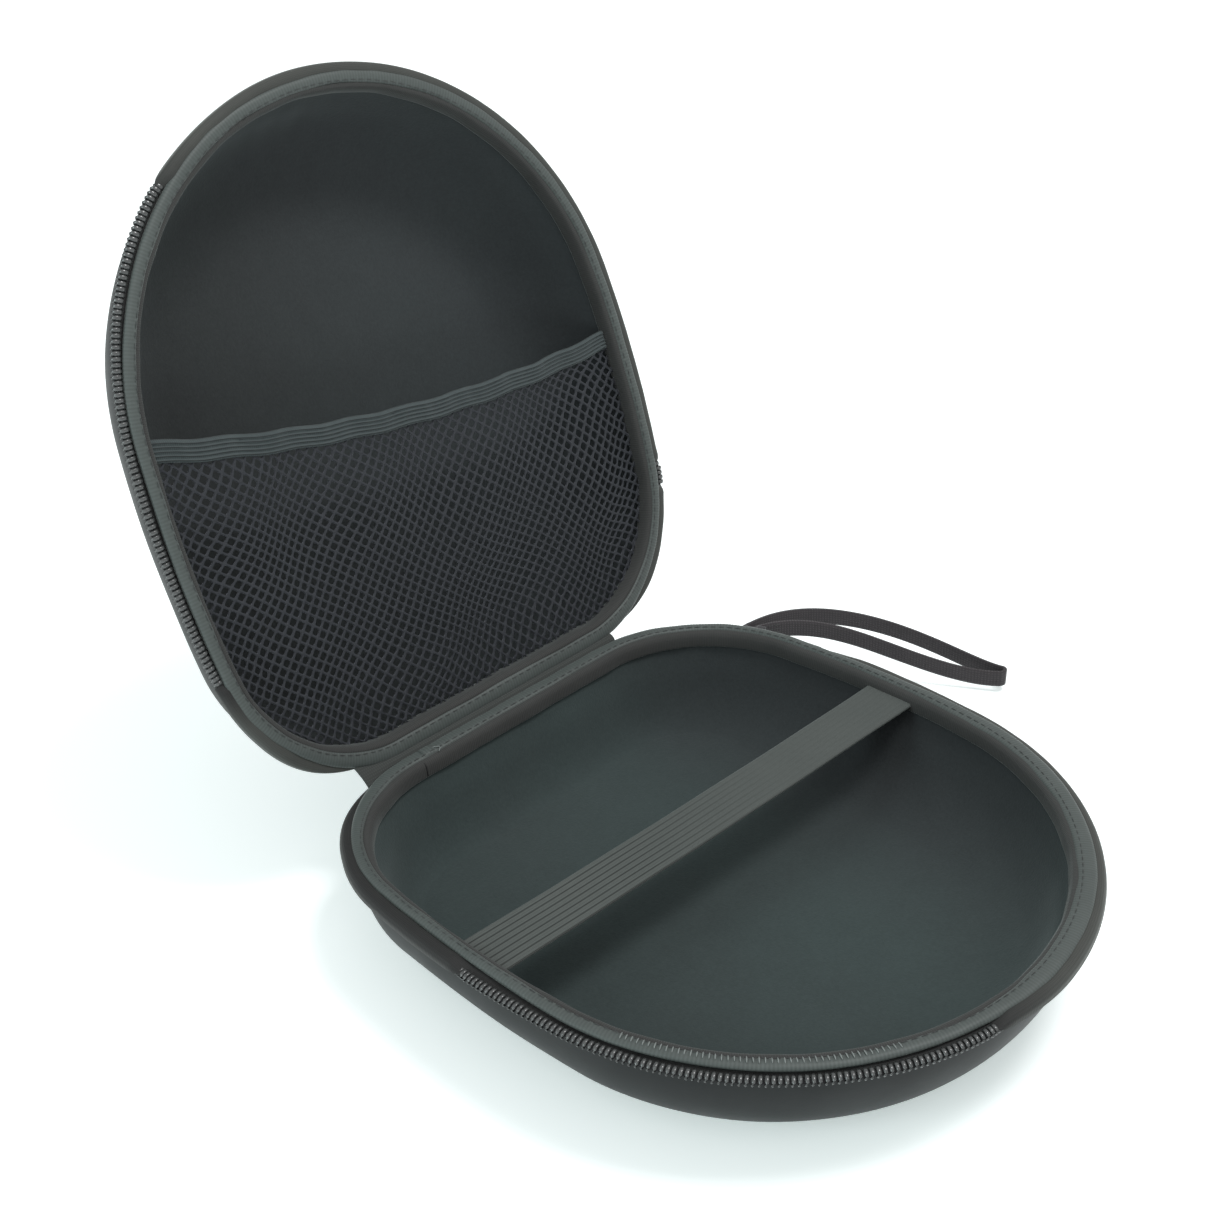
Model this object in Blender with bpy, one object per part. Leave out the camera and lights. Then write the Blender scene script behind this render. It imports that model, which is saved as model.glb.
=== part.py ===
"""Headphone carrying case: a moulded clamshell with a fabric hinge, standing open.

Metres, +Z up. The flat underside of the base rests on z = 0 with its centre at the
origin; the hinge runs along X at the rear (+Y) and the opening faces forward (-Y).
Lengths below are in millimetres and are scaled once, where vertices are made.
"""
import bpy
import bmesh
import math
from mathutils import Matrix, Vector

MM = 0.001

# plan outline of the zip row: straight rear edge, two corner arcs, sides, front arch
REAR_Y = 101.4
REAR_HALF = 41.0
CORNER_R = 52.0
CORNER_SWEEP = math.radians(83.0)
SIDE_R = 340.0
SIDE_SWEEP = math.radians(12.0)

# heights and the hinge
AXIS_Z = 38.4
AXIS_Y = REAR_Y - 2.0
SHELL_TOP = 35.0
WALL_TOP = 33.0
OPEN_ANGLE = math.radians(110.0)

# wall build-up, measured inward from the zip row
WALL_INSET = 4.2
COVER_T = 0.8
BASE_FOAM_T = 4.0
LID_FOAM_T = 3.0
LINING_T = 0.7
GAP = 0.3
ROUND_FRONT = 30.0
ROUND_REAR = 17.0

# rim parts
COIL_W = 3.0
COIL_Z = (35.1, 38.15)
TAPE_Z = (35.3, 36.2)
TAPE_I = (3.3, 9.0)
BIND_I = (4.1, 9.7)
BIND_Z = (36.5, 38.2)
ZIP_END = math.radians(60.0)

# elastic strap across the base
STRAP_V = (84.0, 89.0)
STRAP_W = 17.0
STRAP_Z = (33.5, 34.8)
STRAP_HALF = 83.6

# net pocket in the lid
NET_INSET = 10.2
NET_DEPTH = 3.9
NET_T = 0.9
BAND_W = 6.2
BAND_T = 1.6

# spine fabric
SPINE_HALF = 40.0
SPINE_Z = (26.0, 38.25)

# zip slider and its pull
SLIDER_AT = math.radians(67.0)
SLIDER_DIR = math.radians(72.5)
PULL_LEN = 22.0
PULL_W = 4.6
PULL_T = 1.4

# wrist strap
STRAP_ROOT = math.radians(58.0)
ROOT_Z = 27.3
WEB_H = 6.0
WEB_T = 1.3
LOOP_SPREAD = 6.3


def arcs():
    """Right half of the outline as (centre u, centre v, radius, start, sweep)."""
    p1 = CORNER_SWEEP
    p2 = CORNER_SWEEP + SIDE_SWEEP
    c1 = (REAR_HALF, CORNER_R)
    c2 = (c1[0] + (CORNER_R - SIDE_R) * math.sin(p1), c1[1] - (CORNER_R - SIDE_R) * math.cos(p1))
    front_r = SIDE_R + c2[0] / math.sin(p2)
    shift = SIDE_R - front_r
    c3 = (c2[0] + shift * math.sin(p2), c2[1] - shift * math.cos(p2))
    return [(c1[0], c1[1], CORNER_R, 0.0, CORNER_SWEEP),
            (c2[0], c2[1], SIDE_R, p1, SIDE_SWEEP),
            (c3[0], c3[1], front_r, p2, math.pi - p2)]


ARCS = arcs()


def place(u, v):
    """Plan point to part coordinates (mm): u across, v forward from the rear zip line."""
    return u, REAR_Y - v


def on_arc(index, angle, inset):
    cu, cv, radius, _, _ = ARCS[index]
    r = radius - inset
    return cu + r * math.sin(angle), cv - r * math.cos(angle)


def half_stations(straight, counts):
    """Stations along the right half: ('line', u) or (arc, angle)."""
    out = [("line", REAR_HALF * k / straight) for k in range(straight)]
    for index, n in enumerate(counts):
        start, sweep = ARCS[index][3], ARCS[index][4]
        out += [(index, start + sweep * k / n) for k in range(n)]
    out.append((2, math.pi))
    return out


def station_point(station, inset):
    kind, value = station
    if kind == "line":
        return value, inset
    return on_arc(kind, value, inset)


def loop_stations():
    """Whole outline, right half then left half mirrored, as (station, side)."""
    half = half_stations(2, (6, 2, 7))
    right = [(s, 1.0) for s in half]
    left = [(s, -1.0) for s in reversed(half[1:-1])]
    return right + left


LOOP = loop_stations()


def ring(inset, z):
    """Ring of points; inset and z may be numbers or functions of the forward distance."""
    points = []
    for station, side in LOOP:
        _, v0 = station_point(station, 0.0)
        i = inset(v0) if callable(inset) else inset
        h = z(v0) if callable(z) else z
        u, v = station_point(station, i)
        x, y = place(side * u, v)
        points.append((x, y, h))
    return points


def rounding(v):
    """Horizontal reach of the wall's rounding, tighter by the hinge than at the front."""
    t = min(max(v / 70.0, 0.0), 1.0)
    return ROUND_REAR + (ROUND_FRONT - ROUND_REAR) * t * t * (3.0 - 2.0 * t)


def wall_point(v, angle, depth):
    """(inset, z) on the elliptical wall at an angle down from the rim, depth inwards."""
    reach = rounding(v)
    nx = math.cos(angle) / reach
    nz = math.sin(angle) / WALL_TOP
    k = depth / math.hypot(nx, nz)
    inset = WALL_INSET + reach * (1.0 - math.cos(angle)) + nx * k
    return inset, WALL_TOP * (1.0 - math.sin(angle)) + nz * k


def material(name, colour, roughness, metallic=0.0):
    mat = bpy.data.materials.new(name)
    mat.use_nodes = True
    shader = mat.node_tree.nodes["Principled BSDF"]
    shader.inputs["Base Color"].default_value = (colour[0], colour[1], colour[2], 1.0)
    shader.inputs["Roughness"].default_value = roughness
    shader.inputs["Metallic"].default_value = metallic
    mat.diffuse_color = (colour[0], colour[1], colour[2], 1.0)
    return mat


def finish_mesh(name, bm, mat, smooth=True):
    bmesh.ops.recalc_face_normals(bm, faces=bm.faces[:])
    bmesh.ops.scale(bm, vec=(MM, MM, MM), verts=bm.verts[:])
    mesh = bpy.data.meshes.new(name)
    bm.to_mesh(mesh)
    bm.free()
    mesh.materials.append(mat)
    for poly in mesh.polygons:
        poly.use_smooth = smooth
    obj = bpy.data.objects.new(name, mesh)
    bpy.context.scene.collection.objects.link(obj)
    return obj


def skin(bm, rings):
    """Join closed rings of equal length with quads."""
    made = [[bm.verts.new(p) for p in r] for r in rings]
    for low, high in zip(made[:-1], made[1:]):
        for k in range(len(low)):
            n = (k + 1) % len(low)
            bm.faces.new((low[k], low[n], high[n], high[k]))
    return made


def bowl(name, offset, thickness, steps, mat):
    """One moulded layer: an outer skin thickened inwards by Solidify."""
    rings = []
    for k in range(steps + 1):
        a = 0.5 * math.pi * (1.0 - k / steps)
        rings.append(ring(lambda v, a=a: wall_point(v, a, offset)[0],
                          lambda v, a=a: wall_point(v, a, offset)[1]))
    rings.append(ring(WALL_INSET + offset, SHELL_TOP))
    bm = bmesh.new()
    made = skin(bm, rings)
    bm.faces.new(made[0])
    obj = finish_mesh(name, bm, mat)
    solid = obj.modifiers.new("Thickness", "SOLIDIFY")
    solid.thickness = thickness * MM
    solid.offset = -1.0
    solid.use_even_offset = True
    solid.use_rim = True
    return obj


def rim_ring(name, profile, mat):
    """Closed ring swept round the outline; profile is a list of (inset, z)."""
    bm = bmesh.new()
    made = [[bm.verts.new(p) for p in ring(i, z)] for i, z in profile]
    made.append(made[0])
    for low, high in zip(made[:-1], made[1:]):
        for k in range(len(low)):
            n = (k + 1) % len(low)
            bm.faces.new((low[k], low[n], high[n], high[k]))
    return finish_mesh(name, bm, mat)


def zip_stations():
    """Stations of the zip run: from the rear right end round the front to the rear left."""
    start, sweep = ARCS[0][3], ARCS[0][4]
    first = [(0, ZIP_END + (start + sweep - ZIP_END) * k / 5) for k in range(5)]
    rest = half_stations(1, (1, 2, 7))[2:]
    half = first + rest
    return [(s, 1.0) for s in half] + [(s, -1.0) for s in reversed(half[:-1])]


ZIP_RUN = zip_stations()


def zip_bar(name, profile, mat):
    """Open-ended bar swept along the zip run, capped at both ends."""
    rings = []
    for station, side in ZIP_RUN:
        section = []
        for i, z in profile:
            u, v = station_point(station, i)
            x, y = place(side * u, v)
            section.append((x, y, z))
        rings.append(section)
    bm = bmesh.new()
    made = skin(bm, rings)
    bm.faces.new(made[0])
    bm.faces.new(list(reversed(made[-1])))
    return finish_mesh(name, bm, mat)


def local_frame(angle, inset, side=1.0, heading=None):
    """Matrix (mm) at a point of the corner arc: x along the zip, y outward, z up."""
    u, v = on_arc(0, angle, inset)
    x, y = place(side * u, v)
    turn = angle if heading is None else heading
    along = Vector((side * math.cos(turn), -math.sin(turn), 0.0))
    outward = Vector((side * math.sin(turn), math.cos(turn), 0.0))
    up = Vector((0.0, 0.0, 1.0))
    basis = Matrix((along, outward, up)).transposed().to_4x4()
    return Matrix.Translation((x, y, 0.0)) @ basis


def box(name, low, high, mat, frame=None, bevel=0.0, segments=2):
    """Box between two corners (mm) in a local frame, edges rounded by a Bevel modifier."""
    bm = bmesh.new()
    bmesh.ops.create_cube(bm, size=1.0)
    size = [high[k] - low[k] for k in range(3)]
    middle = [(high[k] + low[k]) / 2.0 for k in range(3)]
    bmesh.ops.scale(bm, vec=size, verts=bm.verts[:])
    bmesh.ops.translate(bm, vec=middle, verts=bm.verts[:])
    if frame is not None:
        bmesh.ops.transform(bm, matrix=frame, verts=bm.verts[:])
    obj = finish_mesh(name, bm, mat, smooth=False)
    if bevel > 0.0:
        add_bevel(obj, bevel, segments)
    return obj


def add_bevel(obj, width, segments):
    mod = obj.modifiers.new("Edges", "BEVEL")
    mod.width = width * MM
    mod.segments = segments
    mod.limit_method = "ANGLE"
    mod.angle_limit = math.radians(40.0)
    return mod


def cylinder(name, radius, low, high, mat, frame, sides=16):
    bm = bmesh.new()
    bmesh.ops.create_cone(bm, cap_ends=True, segments=sides, radius1=radius, radius2=radius,
                          depth=high - low)
    bmesh.ops.translate(bm, vec=(0.0, 0.0, (high + low) / 2.0), verts=bm.verts[:])
    bmesh.ops.transform(bm, matrix=frame, verts=bm.verts[:])
    return finish_mesh(name, bm, mat)


def as_cutter(obj):
    obj.hide_render = True
    obj.display_type = "WIRE"
    return obj


def boolean(obj, other, operation):
    mod = obj.modifiers.new(operation.title(), "BOOLEAN")
    mod.operation = operation
    mod.solver = "EXACT"
    mod.object = as_cutter(other)
    return mod


def plate(name, outline, low, high, mat):
    """Flat sheet of constant thickness over a plan outline."""
    bm = bmesh.new()
    bottom = [bm.verts.new((x, y, low)) for x, y in outline]
    top = [bm.verts.new((x, y, high)) for x, y in outline]
    count = len(outline)
    for k in range(count):
        n = (k + 1) % count
        bm.faces.new((bottom[k], bottom[n], top[n], top[k]))
    bm.faces.new(list(reversed(bottom)))
    bm.faces.new(top)
    bmesh.ops.triangulate(bm, faces=[f for f in bm.faces if len(f.verts) > 4])
    return finish_mesh(name, bm, mat, smooth=False)


def band_edge(x):
    """Forward distance of the pocket band's free edge at a place across the lid."""
    return 99.5 - 0.15 * x + 0.0011 * x * x


def half_width(v_target, inset):
    """Half width of the outline at a forward distance, by bisection round the side."""
    low, high = 0.0, math.pi
    for _ in range(60):
        mid = 0.5 * (low + high)
        index = 0
        if mid > ARCS[1][3]:
            index = 1
        if mid > ARCS[2][3]:
            index = 2
        u, v = on_arc(index, mid, inset)
        if v < v_target:
            low = mid
        else:
            high = mid
    return u


def net_outline(shift):
    """Plan outline of the net: round the rear part, then back along the band's line."""
    points = []
    for side in (1.0, -1.0):
        run = []
        for station in half_stations(2, (6, 3, 7)):
            u, v = station_point(station, NET_INSET)
            if v < band_edge(side * u) - shift:
                run.append((side * u, v))
        points.append(run)
    right, left = points
    ends = []
    for side in (1.0, -1.0):
        v = 100.0
        for _ in range(20):
            u = side * half_width(v, NET_INSET)
            v = band_edge(u) - shift
        ends.append((u, v))
    steps = 14
    edge = []
    for k in range(steps + 1):
        u = ends[0][0] + (ends[1][0] - ends[0][0]) * k / steps
        edge.append((u, band_edge(u) - shift))
    outline = right + edge + list(reversed(left))[:-1]
    return outline, edge


def strand_path(t):
    """Centre line of the wrist strap (mm), from the sewn root to the free end."""
    a, b, c, d = STRAP_CURVE
    s = 1.0 - t
    return a * s ** 3 + b * 3 * s * s * t + c * 3 * s * t * t + d * t ** 3


ROOT_FRAME = local_frame(STRAP_ROOT, -3.0)
ROOT_POINT = ROOT_FRAME.to_translation()
STRAP_CURVE = (Vector((ROOT_POINT.x, ROOT_POINT.y, ROOT_Z)), Vector((139.0, 81.0, 24.5)),
               Vector((151.0, 38.4, 3.0)), Vector((157.4, 17.1, 5.3)))


def wrist_loop(name, mat):
    """Webbing folded into a narrow loop that stands on its edge."""
    steps = 13
    left, right = [], []
    for k in range(steps + 1):
        t = k / steps
        here = strand_path(t)
        ahead = strand_path(min(t + 0.01, 1.0)) - strand_path(max(t - 0.01, 0.0))
        normal = Vector((-ahead.y, ahead.x, 0.0)).normalized()
        spread = 1.0 + LOOP_SPREAD * math.sin(0.92 * math.pi * t) ** 1.25
        left.append(here + normal * spread)
        right.append(here - normal * spread)
    centre = left + list(reversed(right))
    count = len(centre)
    bm = bmesh.new()
    sections = []
    for k in range(count):
        along = centre[(k + 1) % count] - centre[(k - 1) % count]
        side = Vector((-along.y, along.x, 0.0)).normalized() * (WEB_T / 2.0)
        up = Vector((0.0, 0.0, WEB_H / 2.0))
        here = centre[k]
        sections.append([bm.verts.new(here + side + up), bm.verts.new(here - side + up),
                         bm.verts.new(here - side - up), bm.verts.new(here + side - up)])
    for k in range(count):
        n = (k + 1) % count
        for e in range(4):
            f = (e + 1) % 4
            bm.faces.new((sections[k][e], sections[k][f], sections[n][f], sections[n][e]))
    return finish_mesh(name, bm, mat)


def swing_up(objects, pivot):
    """Turn lid parts from the closed position to the open rest position."""
    turn = Matrix.Rotation(-OPEN_ANGLE, 4, "X")
    for obj in objects:
        obj.data.transform(Matrix.Translation((0.0, -AXIS_Y * MM, -AXIS_Z * MM)))
        obj.data.transform(turn)
        obj.parent = pivot


def flip_closed(obj):
    """Mirror a base-side part through the closing plane, giving its closed lid twin."""
    obj.data.transform(Matrix.Translation((0.0, 0.0, 2.0 * AXIS_Z * MM))
                       @ Matrix.Diagonal((1.0, 1.0, -1.0, 1.0)))
    obj.data.flip_normals()


for old in list(bpy.data.objects):
    bpy.data.objects.remove(old, do_unlink=True)

COVER = material("smooth_cover", (0.055, 0.060, 0.062), 0.45)
FOAM = material("eva_foam", (0.030, 0.030, 0.032), 0.90)
LINING = material("plush_lining", (0.045, 0.060, 0.062), 0.95)
BINDING = material("grosgrain", (0.090, 0.100, 0.095), 0.85)
TAPE = material("zip_tape", (0.020, 0.020, 0.022), 0.90)
COIL = material("zip_coil", (0.060, 0.062, 0.064), 0.40)
SPINE = material("spine_fabric", (0.030, 0.032, 0.033), 0.90)
ELASTIC = material("elastic", (0.085, 0.095, 0.092), 0.85)
NET = material("net", (0.050, 0.052, 0.060), 0.80)
WEBBING = material("webbing", (0.050, 0.046, 0.048), 0.85)
METAL = material("slider_metal", (0.250, 0.250, 0.260), 0.35, 1.0)

COIL_PROFILE = [(0.0, 35.9), (0.8, COIL_Z[0]), (2.3, COIL_Z[0]), (COIL_W, 35.9),
                (COIL_W, 37.4), (2.3, COIL_Z[1]), (0.8, COIL_Z[1]), (0.0, 37.4)]
TAPE_PROFILE = [(TAPE_I[0], TAPE_Z[0]), (TAPE_I[1], TAPE_Z[0]),
                (TAPE_I[1], TAPE_Z[1]), (TAPE_I[0], TAPE_Z[1])]
BIND_PROFILE = [(BIND_I[0], BIND_Z[0]), (BIND_I[1], BIND_Z[0]), (BIND_I[1], 37.6),
                (BIND_I[1] - 0.8, BIND_Z[1]), (BIND_I[0] + 0.8, BIND_Z[1]), (BIND_I[0], 37.6)]


def build_half(prefix, foam_t):
    """The parts both halves share, all made in the base position."""
    foam_offset = COVER_T + GAP
    lining_offset = foam_offset + foam_t + GAP
    parts = [
        bowl(prefix + "_outer_cover", 0.0, COVER_T, 6, COVER),
        bowl(prefix + "_foam_shell", foam_offset, foam_t, 6, FOAM),
        bowl(prefix + "_lining", lining_offset, LINING_T, 6, LINING),
        rim_ring(prefix + "_rim_binding", BIND_PROFILE, BINDING),
        zip_bar(prefix + "_zip_tape", TAPE_PROFILE, TAPE),
        zip_bar(prefix + "_zip_coil", COIL_PROFILE, COIL),
        box(prefix + "_hinge_spine", (-SPINE_HALF, REAR_Y - 3.9, SPINE_Z[0]),
            (SPINE_HALF, REAR_Y - 2.9, SPINE_Z[1]), SPINE, bevel=0.3, segments=1),
        box(prefix + "_top_stop", (-4.6, -3.2, 35.0), (-0.5, 0.3, 38.1), METAL,
            frame=local_frame(ZIP_END, 0.0, side=-1.0), bevel=0.4),
    ]
    return parts


base_parts = build_half("base", BASE_FOAM_T)
lid_parts = build_half("lid", LID_FOAM_T)
for part in lid_parts:
    flip_closed(part)

# joined end of the zip, beside the parked slider
box("zip_bottom_stop", (-5.2, -3.2, 34.9), (-0.5, 0.4, 38.1), METAL,
    frame=local_frame(ZIP_END, 0.0), bevel=0.5)

# elastic strap across the mouth of the base
strap_corners = []
for across, centre_v in ((-STRAP_HALF, STRAP_V[0]), (STRAP_HALF, STRAP_V[1])):
    for edge in (-0.5, 0.5):
        strap_corners.append(place(across, centre_v + edge * STRAP_W))
strap_outline = [strap_corners[0], strap_corners[2], strap_corners[3], strap_corners[1]]
strap = plate("elastic_strap", strap_outline, STRAP_Z[0], STRAP_Z[1], ELASTIC)
add_bevel(strap, 0.4, 1)

# net pocket, made in the closed position
net_low = AXIS_Z + NET_DEPTH
net_points, _ = net_outline(BAND_W + GAP)
pocket_net = plate("pocket_net", [place(u, v) for u, v in net_points], net_low, net_low + NET_T, NET)
_, free_edge = net_outline(0.0)
_, inner_edge = net_outline(BAND_W)
band_points = free_edge + list(reversed(inner_edge))
pocket_band = plate("pocket_band", [place(u, v) for u, v in band_points],
                    net_low - 0.4, net_low - 0.4 + BAND_T, ELASTIC)
lid_parts += [pocket_net, pocket_band]

# lid pivot on the hinge axis
lid_pivot = bpy.data.objects.new("lid_pivot", None)
lid_pivot.location = (0.0, AXIS_Y * MM, AXIS_Z * MM)
bpy.context.scene.collection.objects.link(lid_pivot)
swing_up(lid_parts, lid_pivot)

# zip slider: outer plate, lower lip, and two lugs holding the pull's pin
slider_frame = local_frame(SLIDER_AT, 0.0, heading=SLIDER_DIR)
slider = box("zip_slider", (-5.5, 0.8, 33.2), (5.5, 2.0, 38.1), METAL, frame=slider_frame)
for label, low, high in (("lip", (-5.2, -2.0, 33.4), (5.2, 1.3, 34.7)),
                         ("lug_low", (-1.4, 1.1, 33.6), (1.4, 4.2, 34.4)),
                         ("lug_high", (-1.4, 1.1, 37.0), (1.4, 4.2, 37.8))):
    boolean(slider, box("cut_slider_" + label, low, high, METAL, frame=slider_frame), "UNION")
pin_frame = slider_frame @ Matrix.Translation((0.0, 3.3, 0.0))
boolean(slider, cylinder("cut_slider_pin", 0.5, 34.0, 37.4, METAL, pin_frame, 12), "UNION")

# pull tab: a bar with an eye round the pin, hanging along the zip
pull = cylinder("zip_pull", 0.5 * 2.2, 34.7, 36.7, METAL, pin_frame, 16)
boolean(pull, box("cut_pull_bar", (0.3, -PULL_T / 2.0, 34.7), (6.0, PULL_T / 2.0, 36.7), METAL,
                  frame=pin_frame), "UNION")
boolean(pull, box("cut_pull_blade", (5.0, -PULL_T / 2.0, 35.7 - PULL_W / 2.0),
                  (PULL_LEN, PULL_T / 2.0, 35.7 + PULL_W / 2.0), METAL, frame=pin_frame), "UNION")
boolean(pull, cylinder("cut_pull_eye", 0.8, 34.0, 37.4, METAL, pin_frame, 16), "DIFFERENCE")
pull_origin = pin_frame @ Vector((0.0, 0.0, 35.7))
pull.data.transform(Matrix.Translation(-pull_origin * MM))
pull.location = pull_origin * MM

# wrist strap: sewn tab at the rear right corner and the loop that swings from it
box("wrist_strap_anchor", (-1.4, -6.9, 23.3), (1.4, -2.0, 31.3), WEBBING,
    frame=ROOT_FRAME, bevel=0.3, segments=1)
loop = wrist_loop("wrist_strap_loop", WEBBING)
loop_origin = Vector((ROOT_POINT.x, ROOT_POINT.y, ROOT_Z)) * MM
loop.data.transform(Matrix.Translation(-loop_origin))
loop.location = loop_origin
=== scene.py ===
import math
import random

import bpy
import numpy as np
from mathutils import Matrix, Vector


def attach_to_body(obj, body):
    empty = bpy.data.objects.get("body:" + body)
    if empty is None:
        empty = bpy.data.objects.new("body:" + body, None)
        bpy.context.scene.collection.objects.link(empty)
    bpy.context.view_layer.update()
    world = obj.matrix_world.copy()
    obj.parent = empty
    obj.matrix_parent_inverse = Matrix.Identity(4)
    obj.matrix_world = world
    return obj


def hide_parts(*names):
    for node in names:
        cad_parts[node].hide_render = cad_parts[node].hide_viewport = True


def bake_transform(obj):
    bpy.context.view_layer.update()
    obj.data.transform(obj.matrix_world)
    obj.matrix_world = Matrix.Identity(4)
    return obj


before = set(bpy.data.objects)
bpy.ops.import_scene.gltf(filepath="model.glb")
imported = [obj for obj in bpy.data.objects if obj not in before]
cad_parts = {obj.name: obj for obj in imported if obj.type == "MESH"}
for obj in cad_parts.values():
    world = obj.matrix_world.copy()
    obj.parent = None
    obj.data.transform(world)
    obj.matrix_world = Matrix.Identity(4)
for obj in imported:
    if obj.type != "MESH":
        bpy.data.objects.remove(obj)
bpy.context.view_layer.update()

random.seed(11)
MM = 0.001
TAU = 2.0 * math.pi

# ---- dimensions (mm)
# The zip row's outline: a straight rear edge, then three arcs to the front on each side.
REAR_Y = 101.4
REAR_HALF = 41.0
R1, SW1 = 52.0, math.radians(83.0)
R2, SW2 = 340.0, math.radians(12.0)
C1 = (REAR_HALF, R1)
C2 = (C1[0] + (R1 - R2) * math.sin(SW1), C1[1] - (R1 - R2) * math.cos(SW1))
R3 = R2 + C2[0] / math.sin(SW1 + SW2)
C3 = (0.0, C2[1] - (R2 - R3) * math.cos(SW1 + SW2))
L1, L2, L3 = R1 * SW1, R2 * SW2, R3 * (math.pi - SW1 - SW2)
HALF = REAR_HALF + L1 + L2 + L3
FULL = 2.0 * HALF
MIDDLE = np.array([0.0, REAR_Y - 97.0])

# The hinge axis and the lid's opening.
AXIS_Y, AXIS_Z = REAR_Y - 2.0, 38.4
OPEN = math.radians(110.0)

# The moulded shell's section.
SHELL_TOP, WALL_TOP, WALL_INSET = 35.0, 33.0, 4.2
ROUND_FRONT, ROUND_REAR = 30.0, 17.0

# The zip: where it ends on the rear corners, how far its right end droops, its pitch, and the
# arc lengths (first, run, last, run) between which the coil shows.
ZIP_END = math.radians(60.0)
S_ZIP = REAR_HALF + R1 * ZIP_END
DROOP = 3.8
TOOTH_PITCH = 1.62
TEETH = {"base": (352.0, 24.0, 494.0, 22.0), "lid": (394.0, 20.0, 534.0, 14.0)}
LID_WINDOW, LID_WINDOW_HALF = 115.0, 7.0

# The rim's cover.
BINDING_RIBS = 600
BINDING_LOW, BINDING_TOP = 36.36, 38.06
HEM_INSETS = {"base": [6.2, 7.4, 8.4, 8.95, 9.2, 9.3, 9.3], "lid": [6.2, 7.2, 7.9, 8.3, 8.5, 8.55, 8.55]}
HEM_HEIGHTS = [36.7, 37.05, 36.75, 35.9, 34.8, 33.6, 32.4]
HEM_HALF, TAPE_HALF = 0.34, 0.26

# Elastic strap, pocket, spine and wrist strap.
STRAP_REACH, STRAP_HALF, STRAP_RIB, STRAP_Z = 86.7, 8.5, 2.12, 34.9
NET_CELL, NET_YARN, NET_Z, NET_INSET = 2.75, 0.42, 33.1, 8.7
BAND_REACH, BAND_WIDTH, BAND_INSET = 86.0, 6.5, 8.6
SPINE_LEFT, SPINE_RIGHT = -59.0, 49.0
WEB_HALF = 3.0
LOOP_POINTS = np.array([[87.6426, 78.5455, 27.3], [139.0, 81.0, 24.5],
                        [151.0, 38.4, 3.0], [157.4, 17.1, 5.3]])


# ---- camera
def set_camera():
    cam = bpy.data.objects.new("camera", bpy.data.cameras.new("camera"))
    bpy.context.scene.collection.objects.link(cam)
    az, el, roll = math.radians(-44.81), math.radians(30.49), math.radians(-2.18)
    back = Vector((math.sin(az) * math.cos(el), -math.cos(az) * math.cos(el), math.sin(el)))
    right = Vector((math.cos(az), math.sin(az), 0.0))
    up = back.cross(right)
    place = Matrix((right, up, back)).transposed().to_4x4() @ Matrix.Rotation(roll, 4, "Z")
    place.translation = Vector((-0.3256, -0.2758, 0.3621))
    cam.matrix_world = place
    cam.data.sensor_fit = "HORIZONTAL"
    cam.data.angle = math.radians(36.09)
    cam.data.clip_start = 0.01
    bpy.context.scene.camera = cam


set_camera()


# ---- outline maths
def outline(s):
    """Points, outward normals and forward distance at arc lengths s along the zip row."""
    s = np.mod(np.asarray(s, float), FULL)
    side = np.where(s > HALF, -1.0, 1.0)
    h = np.where(s > HALF, FULL - s, s)
    turn, u, v = np.zeros_like(h), h.copy(), np.zeros_like(h)
    start, swept = REAR_HALF, 0.0
    for centre, radius, length in ((C1, R1, L1), (C2, R2, L2), (C3, R3, L3)):
        angle = swept + (h - start) / radius
        here = h >= start
        turn = np.where(here, angle, turn)
        u = np.where(here, centre[0] + radius * np.sin(angle), u)
        v = np.where(here, centre[1] - radius * np.cos(angle), v)
        start, swept = start + length, swept + length / radius
    points = np.stack([side * u, REAR_Y - v], -1)
    normals = np.stack([side * np.sin(turn), np.cos(turn)], -1)
    return points, normals, v


def rim_line(s, inset, z):
    """Points [N, 3] at arc lengths s, moved inwards by inset, at height z."""
    p, n, _ = outline(s)
    inset, z = np.broadcast_to(inset, len(s)), np.broadcast_to(z, len(s))
    return np.column_stack([p - n * inset[:, None], z])


def sweep(s, inset, z):
    """Grid [station, profile, xyz] from insets and heights, shaped [S, K]."""
    p, n, _ = outline(s)
    xy = p[:, None, :] - n[:, None, :] * inset[:, :, None]
    return np.concatenate([xy, z[:, :, None]], -1)


def smooth01(x):
    x = np.clip(x, 0.0, 1.0)
    return x * x * (3.0 - 2.0 * x)


def wall(v, angle, depth):
    """(inset, z) on the elliptical wall; its corner is rounder at the front than at the hinge."""
    reach = ROUND_REAR + (ROUND_FRONT - ROUND_REAR) * smooth01(v / 70.0)
    nx, nz = np.cos(angle) / reach, np.sin(angle) / WALL_TOP
    k = depth / np.hypot(nx, nz)
    return WALL_INSET + reach * (1.0 - np.cos(angle)) + nx * k, WALL_TOP * (1.0 - np.sin(angle)) + nz * k


def ripple(s, *waves):
    """Sum of sines over arc length, each (amplitude, wavelength, phase), closing round the rim."""
    return sum(amp * np.sin(TAU * round(FULL / length) * s / FULL + phase) for amp, length, phase in waves)


def swung(y, z):
    """Base-position (y, z) mirrored through the closing plane and swung to the open lid."""
    y, h = y - AXIS_Y, AXIS_Z - z
    c, s = math.cos(OPEN), math.sin(OPEN)
    return y * c + h * s + AXIS_Y, -y * s + h * c + AXIS_Z


def lid_matrix():
    """The same mirror and swing as a matrix (mm)."""
    flip = Matrix.Translation((0, 0, 2 * AXIS_Z)) @ Matrix.Diagonal((1, 1, -1, 1))
    pivot = Vector((0, AXIS_Y, AXIS_Z))
    return Matrix.Translation(pivot) @ Matrix.Rotation(-OPEN, 4, "X") @ Matrix.Translation(-pivot) @ flip


def unit(vectors):
    return vectors / (np.linalg.norm(vectors, axis=-1, keepdims=True) + 1e-9)


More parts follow.
